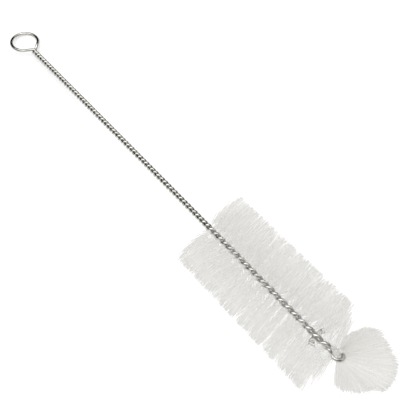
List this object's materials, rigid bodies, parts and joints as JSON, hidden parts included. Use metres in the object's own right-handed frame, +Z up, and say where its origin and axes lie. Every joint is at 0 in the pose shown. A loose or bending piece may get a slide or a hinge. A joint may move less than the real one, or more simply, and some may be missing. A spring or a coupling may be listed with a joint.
{
  "type": "bottle brush",
  "caption": "Straight bottle brush: twisted wire stem with a finger ring, a round head of clear nylon bristles and a fanned bristle tuft in the eye at its tip.",
  "frame": {"origin": "on the surface the brush lies on, under the middle of its length and under the stem", "axes": "+X along the brush from the ring to the tip, +Z up from the surface it lies on, +Y to the left seen from the ring; the stem rises about 6 degrees towards the tip"},
  "size_m": [0.3848, 0.0615, 0.0728],
  "materials": {
    "galvanised_wire": "bright zinc-coated steel wire, drawn smooth",
    "clear_nylon": "translucent natural nylon filament"
  },
  "bodies": {
    "root": {"wire": "galvanised_wire", "tip_tuft": "clear_nylon", "bristle_row_01": "clear_nylon", "bristle_row_02": "clear_nylon", "bristle_row_03": "clear_nylon", "bristle_row_04": "clear_nylon", "bristle_row_05": "clear_nylon", "bristle_row_06": "clear_nylon", "bristle_row_07": "clear_nylon", "bristle_row_08": "clear_nylon", "bristle_row_09": "clear_nylon", "bristle_row_10": "clear_nylon", "bristle_row_11": "clear_nylon", "bristle_row_12": "clear_nylon", "bristle_row_13": "clear_nylon", "bristle_row_14": "clear_nylon", "bristle_row_15": "clear_nylon", "bristle_row_16": "clear_nylon", "bristle_row_17": "clear_nylon", "bristle_row_18": "clear_nylon", "bristle_row_19": "clear_nylon", "bristle_row_20": "clear_nylon"}
  },
  "joints": []
}
